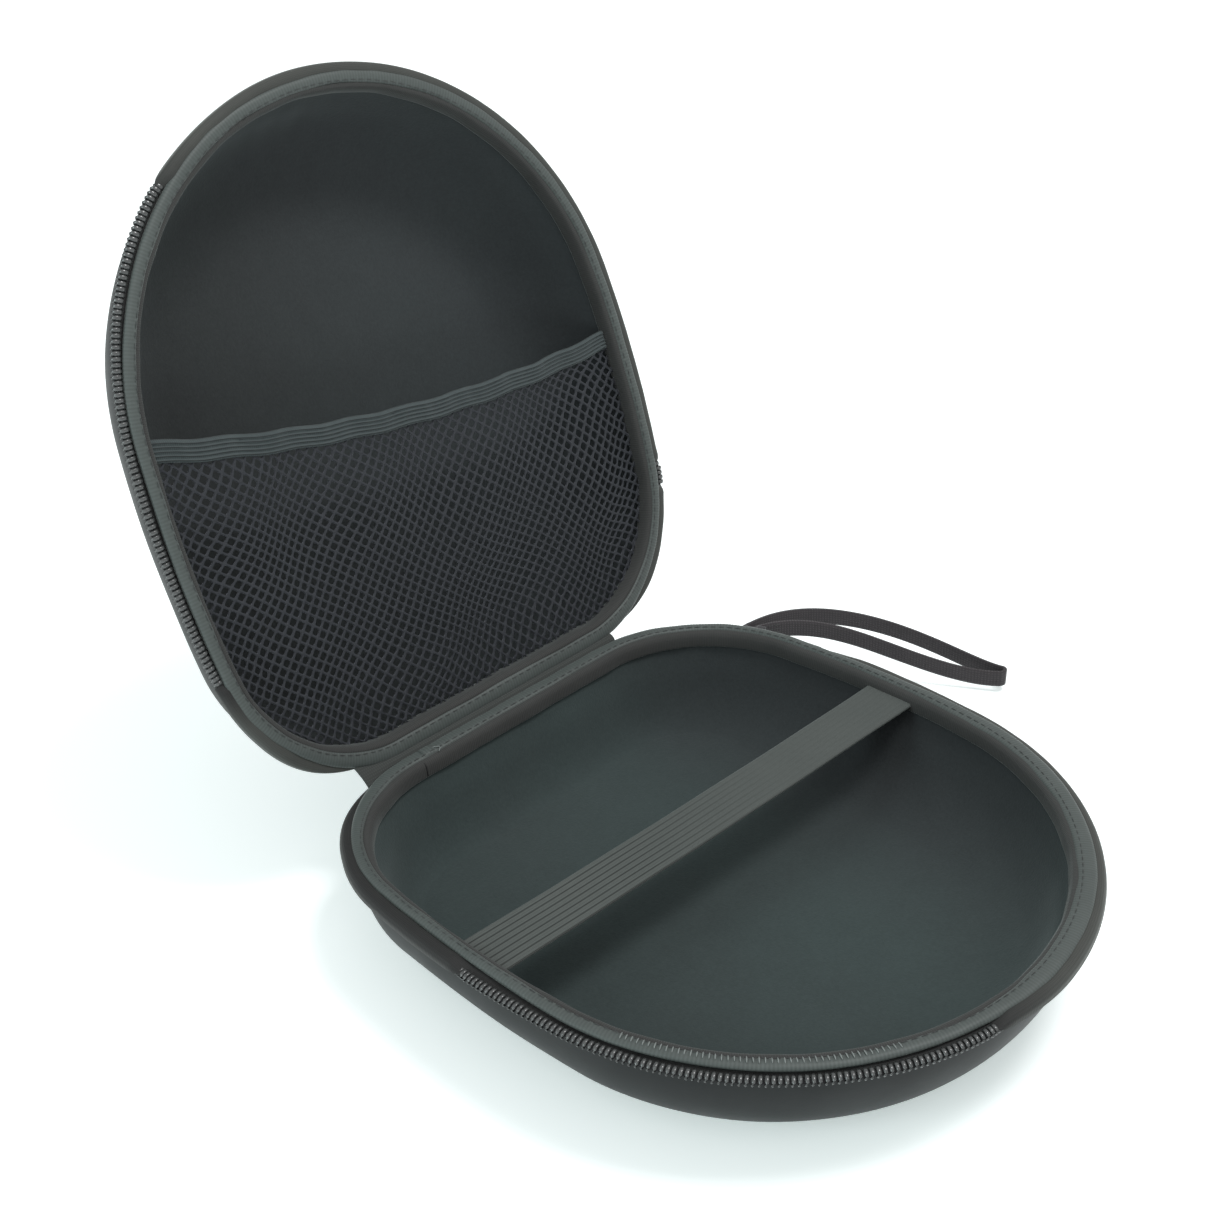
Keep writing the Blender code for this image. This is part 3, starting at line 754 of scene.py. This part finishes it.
def make_coil(prefix):
    """The coil: one bent loop of thread per tooth, round a core cord."""
    loop_i = np.array([1.25, 0.45, -0.45, -0.98, -1.10, -0.72, 0.15, 1.10])
    loop_z = np.array([0.86, 1.08, 0.96, 0.44, -0.28, -0.88, -1.04, -0.82])
    shift = np.array([0.0, 0.03, 0.08, 0.18, 0.32, 0.42, 0.48, 0.52]) * 0.5 * TOOTH_PITCH
    thick = np.array([0.22, 0.28, 0.31, 0.34, 0.35, 0.32, 0.27, 0.22])
    wide = np.array([0.66, 0.72, 0.74, 0.60, 0.44, 0.40, 0.42, 0.44]) * (0.86 if prefix == "base" else 1.0)
    loops = Tubes()
    for k in range(int((FULL - 2 * S_ZIP - 1.0) / TOOTH_PITCH)):
        s = S_ZIP + 0.5 + k * TOOTH_PITCH + shift + random.uniform(-0.05, 0.05)
        mid_i, mid_z = coil_seat(prefix, s)
        grow = 1.0 + random.uniform(-0.03, 0.03)
        path = rim_line(s, mid_i + loop_i * grow, mid_z + loop_z * grow)
        grid = tube(path, thick)
        n = outline(s)[1]
        along = np.stack([n[:, 1], -n[:, 0]], 1)[:, None]
        off = ((grid - path[:, None])[..., :2] * along).sum(-1, keepdims=True)
        grid[..., :2] += (wide / thick - 1.0)[:, None, None] * off * along
        loops.add(grid)
    loops.build(prefix + "_coil_loops", MATS["coil"], prefix, "zip_coil", prefix + "_zip_coil")
    s = np.linspace(S_ZIP, FULL - S_ZIP, 360)
    mid_i, mid_z = coil_seat(prefix, s)
    thin = 1.0 - 0.5 * turned(prefix, s)[:, None]
    ang = TAU * np.arange(10) / 10
    grid = sweep(s, mid_i[:, None] + 0.12 + 0.84 * thin * np.cos(ang),
                 mid_z[:, None] + 0.80 * thin * np.sin(ang))
    strip(prefix + "_coil_core", grid, s, np.arange(11) * 0.6, MATS["core"], prefix, "zip_tape")


def stitch_run(name, prefix, places, inset, z, along, across, radius, mat, tilt=0.0):
    """Short raised stitches on the rim; along and across are each stitch's half lengths."""
    r = np.random.default_rng(len(places) + int(radius * 1000))
    t = np.linspace(-1.0, 1.0, 6)
    stitches = Tubes()
    for place in places:
        place = place + r.uniform(-0.06, 0.06)
        s = place + t * (along + tilt * r.uniform(0.6, 1.4))
        path = rim_line(s, inset + t * across * r.uniform(0.85, 1.15), z + 0.16 * (1 - t * t) - 0.10)
        stitches.add(tube(path, radius * np.array([0.4, 0.85, 1.0, 1.0, 0.85, 0.4])))
    stitches.build(name, mat, prefix, "grosgrain")


def make_rim():
    for prefix in ("base", "lid"):
        make_binding(prefix)
        make_hem(prefix)
        make_tape(prefix)
        make_coil(prefix)
        stitch_run(prefix + "_binding_seam", prefix, np.arange(0.0, FULL, 3.1), 6.25, 38.02, 1.05, 0.0, 0.12,
                   MATS["thread_dark"])
    front = np.arange(HALF + 46.0, HALF + 122.0, TOOTH_PITCH)
    stitch_run("base_front_stitches", "base", front, 5.6, 38.12, 0.0, 1.0, 0.20, MATS["thread"], tilt=0.10)


# ---- strap, pocket, spine
def make_strap():
    """Ribbed elastic stretched across the base, its ends tucked under the binding."""
    x = np.linspace(-STRAP_REACH, STRAP_REACH, 96)[:, None]
    w = np.linspace(-STRAP_HALF, STRAP_HALF, 73)
    t = x / STRAP_REACH
    ribs = -0.32 * np.clip(-np.cos(TAU * w / STRAP_RIB) - 0.55, 0.0, 1.0) / 0.45
    depth = 1.0 - 0.9 * smooth01((x + 30.0) / 60.0)
    corner = np.where(np.abs(w) > 8.2, 0.25, 0.0)
    narrow = 1.0 - 0.02 * (1 - np.abs(t) ** 6)
    y = REAR_Y - (86.5 + 2.5 * t + w * narrow)
    middle = STRAP_Z - 0.9 * (1 - t ** 2) + 0.05 * np.sin(x / 7.0)
    top, bottom = middle + ribs * depth - corner, middle - 1.15 + corner
    grid = np.stack(np.broadcast_arrays(x, np.concatenate([y, y[:, ::-1]], 1),
                                        np.concatenate([top, bottom[:, ::-1]], 1)), -1)
    obj = strip("base_elastic", grid, x[:, 0], np.concatenate([w, w[::-1] + 20.0, [30.0]]),
                MATS["elastic"], "base", "elastic", "elastic_strap")


def band_edge(x):
    """Forward distance of the pocket's free edge."""
    return 99.5 - 0.124 * x + 0.0011 * x * x


def half_width_at(v, inset):
    """Half width of the outline inset by a distance, at forward distances v."""
    line = rim_line(np.linspace(0.0, HALF, 2400), inset, 0.0)
    return np.interp(v, REAR_Y - line[:, 1], line[:, 0])


def pocket_height(x, v):
    """Height of the pocket's net, in base position."""
    across = np.clip(1.0 - (x / np.maximum(half_width_at(v, 9.2), 1.0)) ** 2, 0.0, 1.0)
    down = smooth01(v / 100.0)
    return NET_Z - 1.3 * across * down * (0.4 + 0.6 * down)


def net_cells():
    """Points (x, v) and faces of a flat net: rings round holes set on the diagonal."""
    reach = NET_CELL / math.sqrt(2.0)
    corners = [(1, 0), (0.5, 0.5), (0, 1), (-0.5, 0.5), (-1, 0), (-0.5, -0.5), (0, -1), (0.5, -0.5)]
    keys, points, faces = {}, [], []

    def point(x, v):
        key = (round(x, 2), round(v, 2))
        if key not in keys:
            keys[key] = len(points)
            points.append((x, v))
        return keys[key]

    for a in range(-70, 71):
        for b in range(-5, 60):
            x, v = a * reach, b * reach
            if (a + b) % 2 or v < 8.0 or v > band_edge(x) - 2.0:
                continue
            if abs(x) > half_width_at(max(v, 8.4), 8.4) + 0.6 + 0.3 * reach:
                continue
            outer = [point(x + dx * reach, v + dv * reach) for dx, dv in corners]
            hole = reach * (0.70 + 0.03 * math.sin(a * 1.7 + b * 0.6))
            inner = []
            for q in range(8):
                r, ang = hole * (0.80 if q % 2 else 1.0), TAU * q / 8
                inner.append(point(x + r * math.cos(ang) + 0.001 * (q + 1), v + r * math.sin(ang)))
            for q in range(8):
                n = (q + 1) % 8
                faces.append((outer[q], outer[n], inner[n], inner[q]))
    return np.array(points), faces


def make_net():
    """Knitted net, pulled a little out of square and puckered along its sewn edge."""
    points, faces = net_cells()
    x, v = points.T
    w = half_width_at(np.maximum(v, 8.9), NET_INSET)
    x = np.clip(x, -w, w)
    free = smooth01((w - np.abs(x)) / 14.0) * smooth01((v - 9.0) / 14.0)
    free = free * smooth01((band_edge(x) - v) / 14.0)
    pull_x, pull_v = soft_field(51, 2.6, 46.0), soft_field(52, 2.6, 52.0)
    x, v = x + free * pull_x(x, v), v + free * pull_v(x, v)
    edge = np.minimum(w - np.abs(x), v - 9.0)
    pucker = 0.38 * np.exp(-np.clip(edge, 0, 99) / 9.0) * np.sin(x * 0.9 + v * 0.75)
    gather = soft_field(41, 0.5, 17.0)
    z = pocket_height(x, v) + pucker + gather(x, v) * 0.35 * smooth01(edge / 12.0)
    uv = [[(x[k], REAR_Y - v[k]) for k in f] for f in faces]
    obj = make_mesh("lid_net", np.column_stack([x, *swung(REAR_Y - v, z)]), faces, uv, MATS["net"])
    modify(obj, "SOLIDIFY", thickness=NET_YARN * MM, offset=0.0)
    attach(obj, "lid", "net", "pocket_net")


def make_band():
    """Fold-over elastic along the pocket's free edge, with lengthwise ribs and a soft wave."""
    x = np.linspace(BAND_REACH, -BAND_REACH, 380)[:, None]
    fold = np.concatenate([np.linspace(-1.0, -0.08, 30), [-0.04, 0.0, 0.04], np.linspace(0.08, 1.0, 14)])
    w, front = np.abs(fold), fold < 0
    side = np.where(front, 1.0, -1.0) * np.clip(w / 0.10, 0.0, 1.0) ** 0.5
    width = BAND_WIDTH - 0.5 * x / BAND_REACH
    held = smooth01((np.abs(x) - 76.0) / 9.0)
    wave = 0.34 * np.sin(x / 2.7 + 0.5 * np.sin(x / 9.0))
    wave = wave + 0.20 * np.sin(x / 1.23 + 0.8) + 0.25 * np.sin(x / 7.3)
    wave = wave * (1 - 0.75 * held) * (0.55 + 0.45 * np.cos(2.6 * w))
    ribs = 0.26 * np.cos(TAU * w * 5.5 + 0.3 * np.sin(x / 6.0)) * (front & (w > 0.12))

    def layer(half, inset, rib):
        v = band_edge(x) - inset - (width - inset) * w + 0.25 * np.sin(x / 3.3 + 1.0)
        limit = half_width_at(np.clip(v, 10, 190), BAND_INSET)
        inside = np.clip(np.broadcast_to(x, v.shape), -limit, limit)
        z = pocket_height(inside, v) + 0.25 + wave + side * half + ribs * rib
        return np.stack([inside, REAR_Y - v, z], -1)

    grid = np.concatenate([layer(0.78, 0.0, 1.0), layer(0.30, 0.45, 0.6)[:, ::-1]], 1)
    vs = np.concatenate([w * 6.2 * np.sign(fold), 20 + w[::-1] * 6.2, [28.0]])
    obj = strip("lid_pocket_elastic", grid, x[:, 0], vs, MATS["elastic_band"], "lid", "elastic",
                "pocket_band")


def make_spine():
    """One strip of fabric from the base's rear wall over the hinge to the lid's."""
    rows, cols = 56, 109
    x = np.linspace(SPINE_LEFT, SPINE_RIGHT, cols)
    round_corner = np.clip((np.abs(x) - REAR_HALF) / R1, 0.0, 0.9)
    wall_y, wall_z = np.array([97.9, 98.15, 98.3, 98.8]), np.array([26.0, 30.0, 34.0, 36.7])
    lines = []
    for back in R1 * (1.0 - np.sqrt(1.0 - round_corner ** 2)):
        base = np.column_stack([wall_y - back, wall_z])
        lid = np.column_stack(swung(*base[::-1].T))
        line = np.concatenate([base, [[99.25 - 0.25 * back, 38.5 + 0.2 * back]], lid])
        d = lengths(line)
        t = np.linspace(0.0, d[-1], rows)
        line = np.column_stack([np.interp(t, d, line[:, 0]), np.interp(t, d, line[:, 1])])
        for _ in range(3):
            line[1:-1] = 0.25 * line[:-2] + 0.5 * line[1:-1] + 0.25 * line[2:]
        lines.append(line)
    mid = np.stack(lines, 1)
    tangent = unit(np.gradient(mid, axis=0))
    normal = np.stack([-tangent[..., 1], tangent[..., 0]], -1)
    along = np.linspace(0.0, 1.0, rows)[:, None]
    crease = 0.12 * np.sin(x / 5.0 + 9.0 * along) * np.sin(math.pi * along)
    sides = [mid - normal * (0.48 + crease)[..., None], (mid + normal * 0.42)[:, ::-1]]
    across = np.broadcast_to(np.concatenate([x, x[::-1]]), (rows, 2 * cols))
    grid = np.concatenate([across[..., None], np.concatenate(sides, 1)], -1)
    length = float(lengths(mid[:, cols // 2])[-1])
    obj = strip("spine", grid, along[:, 0] * length, np.concatenate([x, 120.0 + x, [190.0]]),
                MATS["spine"], None, "spine_fabric")
    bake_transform(obj)
    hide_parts("base_hinge_spine")
    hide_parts("lid_hinge_spine")


# ---- wrist strap
def strap_line(t):
    """Cubic curve down the middle of the wrist strap's loop."""
    t = np.asarray(t, float)[..., None]
    s = 1 - t
    weights = (s ** 3, 3 * s * s * t, 3 * s * t * t, t ** 3)
    return sum(weight * point for weight, point in zip(weights, LOOP_POINTS))


def make_wrist():
    """Flat webbing folded into a loop, standing on its edge, with a stitched root."""
    t = np.linspace(0.0, 1.0, 120)
    mid = strap_line(t)
    ahead = np.gradient(mid, axis=0)
    aside = left_of(ahead)
    spread = (0.85 + 6.3 * np.sin(0.92 * math.pi * t) ** 1.25)[:, None]
    spread[:8] = np.linspace(0.72, spread[8, 0], 8)[:, None]
    bend = np.linspace(0.0, math.pi, 16)[1:-1, None]
    tip = mid[-1] + aside[-1] * spread[-1] * np.cos(bend) + unit(ahead[-1]) * 2.2 * np.sin(bend)
    line = np.concatenate([mid + aside * spread, tip, (mid - aside * spread)[::-1]])
    arc = lengths(line)
    side = left_of(np.gradient(line, axis=0))[:, None]
    height = WEB_HALF * np.array([-1.0, -0.94, -0.6, -0.2, 0.2, 0.6, 0.94, 1.0])
    thick = 0.62 * np.array([0.55, 0.95, 1.0, 1.0, 1.0, 1.0, 0.95, 0.55])[:, None]
    lean = 0.10 * np.sin(arc / 17.0)[:, None, None] * (height / WEB_HALF)[:, None]
    up = height[:, None] * [0.0, 0.0, 1.0]
    outer, inner = (line[:, None] + side * (lean + half) + up for half in (thick, -thick))
    grid = np.concatenate([outer, inner[:, ::-1]], 1)
    vs = np.concatenate([height, 8 + height, [14.0]])
    loop = strip("wrist_webbing", grid, arc, vs, MATS["webbing"], "strap_loop", "webbing",
                 "wrist_strap_loop")
    bartack = Tubes()
    for level in np.linspace(-2.0, 2.0, 4):
        for hand in (-1.0, 1.0):
            for q in range(5):
                at = np.linspace(0.035, 0.050, 5) + q * 0.021
                out = left_of(strap_line(at + 0.004) - strap_line(at - 0.004))
                path = strap_line(at) + out * hand * (np.interp(at, t, spread[:, 0]) + 0.60)[:, None]
                path[:, 2] += level
                bartack.add(tube(path, 0.16))
    bartack.build("wrist_bartack", MATS["thread_dark"], "strap_loop", "webbing")


# ---- stops, slider and pull
def block(low, high, mat, place, radius, segments=3, name="block"):
    """Box in a local frame (mm) with bevelled edges."""
    ends = (low, high)
    square = ((0, 0), (1, 0), (1, 1), (0, 1))
    corners = [(ends[i][0], ends[j][1], ends[k][2]) for k in (0, 1) for i, j in square]
    faces = [(0, 3, 2, 1), (4, 5, 6, 7), (0, 1, 5, 4), (1, 2, 6, 5), (2, 3, 7, 6), (3, 0, 4, 7)]
    axes = [(0, 1), (0, 1), (0, 2), (1, 2), (0, 2), (1, 2)]
    uv = [[(corners[k][a], corners[k][b]) for k in f] for f, (a, b) in zip(faces, axes)]
    obj = make_mesh(name, [list(place @ Vector(c)) for c in corners], faces, uv, mat)
    modify(obj, "BEVEL", width=radius * MM, segments=segments, limit_method="NONE")
    return obj


def sleeve(place, radius, thick, low, high, mat):
    """Short rounded sleeve round a pin, in a local frame (mm)."""
    sides, ease, bore = 24, 0.2, radius - thick
    profile = [(radius, low + ease), (radius - ease, low), (bore + ease, low), (bore, low + ease),
               (bore, high - ease), (bore + ease, high), (radius - ease, high), (radius, high - ease)]
    verts = [list(place @ Vector((r * math.cos(a), r * math.sin(a), z)))
             for a in TAU * np.arange(sides) / sides for r, z in profile]
    return make_mesh("sleeve", verts, *grid_faces(sides, len(profile), True), mat)


def join(name, objs):
    """One mesh from finished ones."""
    verts, faces, uv = [], [], []
    mat = objs[0].data.materials[0]
    for obj in objs:
        base, layer = len(verts), obj.data.uv_layers.active
        verts += [list(obj.matrix_world @ v.co) for v in obj.data.vertices]
        for p in obj.data.polygons:
            faces.append([base + k for k in p.vertices])
            uv.append([tuple(layer.data[k].uv) for k in p.loop_indices])
        bpy.data.objects.remove(obj)
    return make_mesh(name, np.array(verts) / MM, faces, uv, mat)


def corner_frame(angle, inset, side=1.0, heading=None):
    """Matrix (mm) on the rear corner arc: x along the zip, y outward, z up."""
    r = R1 - inset
    x, y = C1[0] + r * math.sin(angle), REAR_Y - (C1[1] - r * math.cos(angle))
    turn = angle if heading is None else heading
    along = Vector((side * math.cos(turn), -math.sin(turn), 0.0))
    out = Vector((side * math.sin(turn), math.cos(turn), 0.0))
    basis = Matrix((along, out, Vector((0.0, 0.0, 1.0)))).transposed().to_4x4()
    return Matrix.Translation((side * x, y, 0.0)) @ basis


def make_stops():
    """The sewn root of the wrist strap and the zip's end stops."""
    root = corner_frame(math.radians(58.0), -3.0)
    attach(block((-1.4, -6.9, 23.3), (1.4, -1.7, 31.3), MATS["webbing"], root, 0.5, name="strap_tab"),
           "base", "webbing", "wrist_strap_anchor")
    left = corner_frame(ZIP_END, 0.0, side=-1.0)
    for prefix, place in (("base", left), ("lid", lid_matrix() @ left)):
        attach(block((-2.4, -2.7, 34.6), (-0.3, -0.9, 36.9), MATS["metal"], place, 0.6,
                     name=prefix + "_stop"), prefix, "slider_metal", prefix + "_top_stop")
    attach(block((-4.0, -2.8, 32.2), (-0.4, -0.1, 35.2), MATS["metal"], corner_frame(ZIP_END, 0.0), 0.6,
                 name="joined_stop"), "base", "slider_metal", "zip_bottom_stop")


def make_slider():
    """Slider body wrapped round the hanging end of the zip, its bridge and pin, and the pull tab."""
    metal = MATS["metal"]
    drop = Matrix.Translation((0.0, 0.0, 0.1 - DROOP))
    place = drop @ corner_frame(math.radians(67.0), 0.0, heading=math.radians(72.5))
    plates = (((-5.5, 0.7, 33.6), (5.5, 1.9, 38.0), 0.45), ((-5.2, -2.4, 33.3), (5.2, 1.4, 34.6), 0.4),
              ((-3.2, -2.6, 33.3), (3.2, -1.7, 35.0), 0.3), ((-1.5, 1.2, 33.9), (1.5, 4.2, 34.8), 0.3),
              ((-1.5, 1.2, 36.7), (1.5, 4.2, 37.6), 0.3))
    pin = place @ Matrix.Translation((0.0, 3.3, 0.0))
    parts = [block(low, high, metal, place, radius) for low, high, radius in plates]
    parts.append(sleeve(pin, 0.5, 0.35, 34.2, 37.3, metal))
    attach(join("slider_body", parts), "slider", "slider_metal", "zip_slider")
    low, high = 34.9, 36.6
    level = Matrix.Translation((0.0, 0.0, 0.5 * (low + high)))
    hang = pin @ level @ Matrix.Rotation(math.radians(7.0), 4, "Y") @ level.inverted()
    parts = [sleeve(pin, 1.15, 0.45, low, high, metal),
             block((0.9, -0.6, low), (6.2, 0.6, high), metal, hang, 0.35),
             block((5.4, -0.65, 34.0), (21.8, 0.65, 37.4), metal, hang, 0.55, 4),
             block((8.0, -0.95, 34.7), (19.5, 0.95, 36.7), metal, hang, 0.5)]
    attach(join("pull_tab", parts), "pull", "slider_metal", "zip_pull")


# ---- seam by the hinge
def make_overlap_seam():
    """Where the base binding's ends overlap, left of the hinge: a folded end and a loose thread."""
    s0 = FULL - REAR_HALF * 0.87
    s = s0 + np.linspace(-2.0, 2.0, 24)
    t = np.linspace(0, 1, 12)
    dome = np.interp(t, [0, 0.15, 0.5, 0.9, 1], [36.9, 37.9, 38.22, 37.95, 36.9])
    bow = 0.10 * np.cos(np.linspace(-1.3, 1.3, 24))[:, None]
    top = sweep(s, np.tile(2.2 + 4.75 * t, (24, 1)), dome + bow)
    grid = np.concatenate([top, (top - [0.0, 0.0, 0.5])[:, ::-1]], 1)
    strip("binding_overlap", grid, s + 0.3, np.concatenate([t * 5, 6 + t * 5, [12.0]]), MATS["binding"],
          "base", "grosgrain")
    a, vs = np.linspace(0, 1, 18), np.arange(7) * 0.2
    path = rim_line(s0 + 2.2 + 1.6 * np.sin(a * 3.0), 5.0 + 3.0 * a, 37.95 + 0.28 * np.sin(a * 2.9))
    strip("loose_thread", tube(path, 0.14), a * 6, vs, MATS["thread"], "base", "grosgrain")
    down = [0.0, 0.35, 1.0]
    path = rim_line(np.full(18, s0 - 4.0), np.interp(a, down, [8.3, 9.25, 9.66]),
                    np.interp(a, down, [37.05, 36.0, 32.9]))
    strip("hem_seam", tube(path, 0.17), a * 5, vs, MATS["core"], "base", "plush_lining")


# ---- studio
def area_light(name, place, target, size, power, colour=(1, 1, 1)):
    data = bpy.data.lights.new(name, "AREA")
    data.shape = "RECTANGLE"
    data.size, data.size_y = size
    data.energy = power
    data.color = colour
    obj = add_object(name, data)
    obj.location = place
    obj.rotation_euler = (Vector(target) - Vector(place)).to_track_quat("-Z", "Y").to_euler()


def make_studio():
    """Pale floor, white surroundings and three soft lights (m)."""
    size = 30.0
    mesh = bpy.data.meshes.new("floor")
    corners = [(-size, -size, 0), (size, -size, 0), (size, size, 0), (-size, size, 0)]
    mesh.from_pydata(corners, [], [(0, 1, 2, 3)])
    mesh.materials.append(MATS["floor"])
    add_object("floor", mesh)
    world = bpy.data.worlds.new("studio")
    world.use_nodes = True
    background = world.node_tree.nodes["Background"]
    background.inputs["Color"].default_value = (1.0, 1.0, 1.0, 1.0)
    background.inputs["Strength"].default_value = 0.66
    bpy.context.scene.world = world
    area_light("key", (0.30, -0.42, 1.45), (0, 0.0, 0.02), (0.45, 0.45), 11.5)
    area_light("fill", (-0.9, -0.6, 1.2), (0, 0.05, 0.05), (1.2, 1.2), 2.4)
    area_light("rim", (-1.3, 0.25, 0.45), (-0.05, 0.1, 0.10), (0.25, 0.9), 6.0, (0.82, 1.0, 1.0))
    view = bpy.context.scene.view_settings
    view.view_transform = "Standard"
    view.look = "None"
    view.exposure = 0.0
    view.gamma = 1.0


make_shells()
make_rim()
make_strap()
make_net()
make_band()
make_spine()
make_wrist()
make_stops()
make_slider()
make_overlap_seam()
make_studio()
